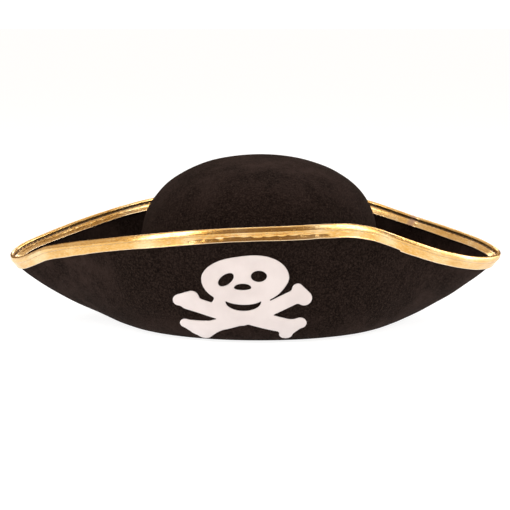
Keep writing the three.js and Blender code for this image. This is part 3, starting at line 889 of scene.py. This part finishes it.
def emblem_outline(low, high):
    """Points and faces of the flat cloth shape, cut cleanly along its outline, and the edges
    that lie on the outline."""
    columns = np.arange(low[0], high[0], EMBLEM_PITCH)
    rows = np.arange(low[1], high[1], EMBLEM_PITCH)
    grid = np.stack(np.meshgrid(columns, rows, indexing="ij"), axis=-1)
    field = emblem_field(grid[..., 0], grid[..., 1])
    points = []
    index_of = {}
    faces = []
    edges = []

    def number(key, point):
        if key not in index_of:
            index_of[key] = len(points)
            points.append(point)
        return index_of[key]

    def crossing(one, other):
        first, second = sorted((one, other))
        share = field[first] / (field[first] - field[second])
        share = min(max(share, 0.02), 0.98)
        return number((first, second), grid[first] + (grid[second] - grid[first]) * share)

    for i, j in np.ndindex(len(columns) - 1, len(rows) - 1):
        square = ((i, j), (i + 1, j), (i + 1, j + 1), (i, j + 1))
        inside = [field[place] < 0 for place in square]
        if not any(inside):
            continue
        loop = []
        cuts = []
        for side in range(4):
            after = (side + 1) % 4
            if inside[side]:
                loop.append(number(square[side], grid[square[side]]))
            if inside[side] != inside[after]:
                cuts.append((crossing(square[side], square[after]), inside[side]))
                loop.append(cuts[-1][0])
        faces.append(loop)
        if len(cuts) == 2:
            (first, leaving), (second, _) = cuts
            edges.append((first, second) if leaving else (second, first))
    return np.array(points), faces, edges


class FlapMap:
    """Places points by their distance across the hat and up the front flap."""

    # In millimetres up the flap.
    REACH = 92
    STEP = 0.5
    ROUNDS = 12

    def __init__(self, flap):
        front = np.nonzero(np.sin(flap.angle) < -0.75)[0]
        order = front[np.argsort(np.unwrap(flap.angle[front]))]
        self.columns = len(order)
        self.rise = np.arange(0, self.REACH, self.STEP) * MM
        up = flap.ones * self.rise
        self.middle = flap.place(up, flap.unevenness(up))[order]
        across = np.gradient(self.middle, axis=0)
        upward = np.gradient(self.middle, axis=1)
        self.normal = unit(np.cross(across, upward))

    def read(self, table, x, y):
        """Values of a table at distances across and up."""
        row = np.clip(y / (self.rise[1] - self.rise[0]), 0, len(self.rise) - 1.001)
        low_row = np.floor(row).astype(int)
        part = row - low_row
        column = np.full(x.shape, self.columns / 2)
        for _ in range(self.ROUNDS):
            reach = self.sample(self.middle, column, low_row, part)
            ahead = self.sample(self.middle, column + 1, low_row, part)
            step = (x - reach[:, 0]) / (ahead[:, 0] - reach[:, 0])
            column = np.clip(column + step, 0, self.columns - 2.001)
        return self.sample(table, column, low_row, part)

    def sample(self, table, column, row, part):
        column = np.clip(column, 0, self.columns - 1.001)
        low = np.floor(column).astype(int)
        share = (column - low)[:, None]
        part = part[:, None]
        near, far = (
            table[at, row] * (1 - part) + table[at, row + 1] * part for at in (low, low + 1))
        return near * (1 - share) + far * share

    def place(self, x, y, offset):
        middle = self.read(self.middle, x, y)
        normal = unit(self.read(self.normal, x, y))
        return middle + normal * offset[:, None]


def make_emblem(flap, material):
    low = (EMBLEM_MIDDLE - EMBLEM_REACH, EMBLEM_FOOT)
    high = (EMBLEM_MIDDLE + EMBLEM_REACH, EMBLEM_HEAD)
    flat, faces, edges = emblem_outline(low, high)
    lay = FlapMap(flap)
    x, y = flat.T
    soft = 0.7 * MM
    roundness = np.sqrt(1 - (1 - np.clip(-emblem_field(x, y) / soft, 0, 1)) ** 2)
    back_offset = np.full(len(flat), FELT / 2 + EMBLEM_GAP)
    front = lay.place(x, y, back_offset + EMBLEM_THICKNESS * (0.35 + 0.65 * roundness))
    points = np.concatenate([front, lay.place(x, y, back_offset)])
    count = len(flat)
    sides = [[a, b, b + count, a + count] for a, b in edges]
    backs = [[index + count for index in reversed(face)] for face in faces]
    emblem = make_object("skull_and_bones", points, faces + backs + sides, material)
    turn_outwards(emblem)
    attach(emblem, "root")
    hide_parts("skull_applique")


# ---- inside the crown

LABEL_THICKNESS = 0.18 * MM


def make_sweatband(flap, material):
    """A woven band with a turned top edge, standing round the inside of the crown."""
    base, top = band_low[2], band_high[2]
    along = flap.along * (math.pi * (HALF_WIDTH + HALF_DEPTH) / flap.around)
    around = along[-1] + (along[-1] - along[-2])
    share = np.linspace(0, 1, 22)
    lean = 0.35 * MM * ripples(along, 0.09, around, 61)[:, None] * smoothstep(0.35, 1, share)
    roll = 0.12 * MM * bump(share, 0.94, 0.06) - 0.08 * MM * bump(share, 0.86, 0.05)
    inset = HEAD_INSET - 0.15 * MM + roll - np.abs(lean)
    inside, outside = (
        polar(flap.angle[:, None], oval_radius(flap.angle[:, None], inset - thickness),
              base + (top - base) * share)
        for thickness in (0, 0.6 * MM))
    grid = np.concatenate([inside, outside[:, ::-1]], axis=1)
    band = ring_object("sweatband_cloth", grid, material, along, running_length(grid[0]))
    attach(band, "root")
    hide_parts("sweatband")


def make_seam_stitches(flap, name, node, inset, side, material):
    """The row of stitches that joins crown, brim and sweatband. Side is 1 outside, -1 inside."""
    path = polar(flap.angle, oval_radius(flap.angle, inset), SEAM_HEIGHT)
    outward = side * polar(flap.angle, 1, 0)
    stitches = stitch_row(name, path, outward, 3.2 * MM, 2.6 * MM, 0.22 * MM, material)
    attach(stitches, "root")
    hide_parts(node)


def make_label(material):
    """A blank folded label, its two ends caught under the sweatband's stitches."""
    columns = 25
    width = label_high[0] - label_low[0]
    height = label_high[2] - label_low[2]
    middle_x = (label_low[0] + label_high[0]) / 2
    angle = np.arctan2(HALF_DEPTH, middle_x + np.linspace(-0.48, 0.48, columns) * width)
    wall = polar(angle, oval_radius(angle, HEAD_INSET + 0.2 * MM), 0.0)
    normal = unit(-wall)
    share = np.linspace(0, 1, 13)
    lines = []
    for lift, looseness, climb in ((0, 0.4, share), (0.22 * MM, 1, share[::-1])):
        for part in climb:
            curl = 0.35 * MM * smoothstep(0.4, 1, part) * looseness
            line = wall + normal * (lift + curl)
            line[:, 2] = label_low[2] + 0.3 * MM + (height - 0.6 * MM) * part
            lines.append(line)
    front = np.stack(lines, axis=1)
    back = front + LABEL_THICKNESS * normal[:, None, :]
    grid = np.concatenate([front, back[:, ::-1]], axis=1)
    rows = grid.shape[1]
    corners, column, row = grid_faces(columns, rows, columns - 1, rows)
    along = np.arange(columns) * (width / columns)
    across = np.arange(rows + 1) * (height / len(share))
    uvs = grid_uvs(column, row, along, across)
    near = np.arange(rows // 2 - 1)
    far = rows - 1 - near
    end = np.stack([near, near + 1, far - 1, far], axis=1)
    faces = np.concatenate([corners, end, end + (columns - 1) * rows])
    uvs = np.concatenate([uvs, np.zeros((8 * len(end), 2))])
    label = make_object("blank_label", grid.reshape(-1, 3), faces.tolist(), material, uvs)
    recalculate(label)
    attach(label, "root")
    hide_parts("care_label")


def recalculate(thing):
    """Makes every face point out of the body."""
    cage = bmesh.new()
    cage.from_mesh(thing.data)
    bmesh.ops.recalc_face_normals(cage, faces=cage.faces)
    cage.to_mesh(thing.data)
    cage.free()


# ---- studio

HAT_MIDDLE = 60 * MM


def soft_box(name, azimuth, distance, size, radiance, height=None):
    """A glowing rectangle turned to the hat. Azimuth is in degrees, 0 in front and 90 at the
    right; it stands on the floor unless it has a height."""
    turn = math.radians(azimuth)
    middle = size[1] / 2 if height is None else height
    data = bpy.data.lights.new(name, "AREA")
    data.shape = "RECTANGLE"
    data.size, data.size_y = size
    data.energy = radiance * math.pi * size[0] * size[1]
    lamp = add_to_scene(name, data)
    lamp.location = (distance * math.sin(turn), -distance * math.cos(turn), middle)
    direction = Vector((0, 0, HAT_MIDDLE)) - lamp.location
    lamp.rotation_euler = direction.to_track_quat("-Z", "Y").to_euler()
    lamp.visible_camera = False


def make_studio():
    far = 60.0
    near = -0.75
    corners = [(-far, near, 0), (far, near, 0), (far, far, 0), (-far, far, 0)]
    floor = make_object("floor", np.array(corners), [[0, 1, 2, 3]], floor_look())
    floor.location.z = -0.4 * MM
    soft_box("box_left", -57, 1.9, (0.85, 1.9), radiance=7)
    soft_box("box_right", 62, 1.9, (0.8, 1.9), radiance=6.5)
    soft_box("box_side", 114, 1.9, (0.7, 1.6), radiance=5)
    soft_box("panel_left", -104, 1.9, (2.0, 2.4), radiance=0.6)
    soft_box("strip_back", 180, 1.6, (1.6, 0.4), radiance=4, height=1.3)
    ceiling = bpy.data.lights.new("ceiling", "SUN")
    ceiling.energy = 0.85
    ceiling.angle = math.radians(66)
    add_to_scene("ceiling", ceiling).rotation_euler = (math.radians(-8), 0, 0)
    make_air()
    bpy.context.scene.view_settings.view_transform = "Standard"


def make_air():
    """Dim warm walls all round for the reflections, and a plain white backdrop."""
    world = bpy.data.worlds.new("studio_air")
    world.use_nodes = True
    nodes = world.node_tree.nodes
    links = world.node_tree.links
    walls = nodes["Background"]
    walls.inputs["Color"].default_value = (1, 0.47, 0.11, 1)
    walls.inputs["Strength"].default_value = 0.16
    backdrop = nodes.new("ShaderNodeBackground")
    backdrop.inputs["Color"].default_value = (1, 1, 1, 1)
    backdrop.inputs["Strength"].default_value = 1.1
    path = nodes.new("ShaderNodeLightPath")
    mixer = nodes.new("ShaderNodeMixShader")
    links.new(path.outputs["Is Camera Ray"], mixer.inputs["Fac"])
    links.new(walls.outputs["Background"], mixer.inputs[1])
    links.new(backdrop.outputs["Background"], mixer.inputs[2])
    links.new(mixer.outputs["Shader"], nodes["World Output"].inputs["Surface"])
    bpy.context.scene.world = world


def make_camera():
    """A long lens a little above the brim, level across the hat."""
    (left, _, _), (right, _, top) = cad_box
    distance = 1.6
    rise = math.radians(6.2)
    view_width = 0.3782
    sideways = -0.4 * MM
    aim = Vector(((left + right) / 2 + sideways, 0, 0.389 * top))
    data = bpy.data.cameras.new("camera")
    data.sensor_width = 36
    data.lens = data.sensor_width * distance / view_width
    camera = add_to_scene("camera", data)
    back = Vector((0, -math.cos(rise), math.sin(rise)))
    camera.location = aim + back * distance
    camera.rotation_euler = (-back).to_track_quat("-Z", "Y").to_euler()
    bpy.context.scene.camera = camera


def dress(node, material):
    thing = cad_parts[node]
    for slot in thing.material_slots:
        slot.material = material


def main():
    make_camera()
    make_studio()
    coarse = Flap(COARSE_COLUMNS)
    fine = Flap(FINE_COLUMNS)
    make_crown(coarse, felt_look("felt_crown", 3.0))
    make_brim(coarse, felt_look("felt_brim", 11.0))
    make_binding(fine)
    needle = thread_look("gold_thread_needle", (0.6, 0.4, 0.16), (0.4, 0.24, 0.08))
    bobbin = thread_look("gold_thread_bobbin", (0.12, 0.06, 0.02), (0.05, 0.024, 0.01))
    black = thread_look("black_thread", (0.022, 0.02, 0.02), (0.01, 0.009, 0.009))
    make_binding_stitches(fine, "binding_needle_stitches", "binding_needle_thread", -1,
                          CREASE_DEPTH, 1.95 * MM, needle)
    make_binding_stitches(fine, "binding_bobbin_stitches", "binding_bobbin_thread", 1,
                          THREAD_DEPTH, 1.15 * MM, bobbin)
    make_emblem(fine, white_look())
    make_sweatband(coarse, woven_look("sweatband_cloth", 0.9 * MM, (0.016, 0.015, 0.016),
                                      (0.034, 0.033, 0.035), 0.85, 0.2 * MM))
    make_seam_stitches(coarse, "seam_needle_stitches", "seam_needle_thread", -0.12 * MM, 1, black)
    make_seam_stitches(coarse, "seam_bobbin_stitches", "seam_bobbin_thread", HEAD_INSET + 0.1 * MM,
                       -1, black)
    make_label(woven_look("label_satin", 0.35 * MM, (0.78, 0.77, 0.74), (0.86, 0.85, 0.83), 0.4,
                          0.05 * MM))
    dress("rim_wire", wire_look("hat_wire", (0.5, 0.51, 0.53), (0.32, 0.33, 0.35)))
    dress("wire_joiner", wire_look("joiner_brass", (0.66, 0.48, 0.2), (0.42, 0.29, 0.11)))


main()
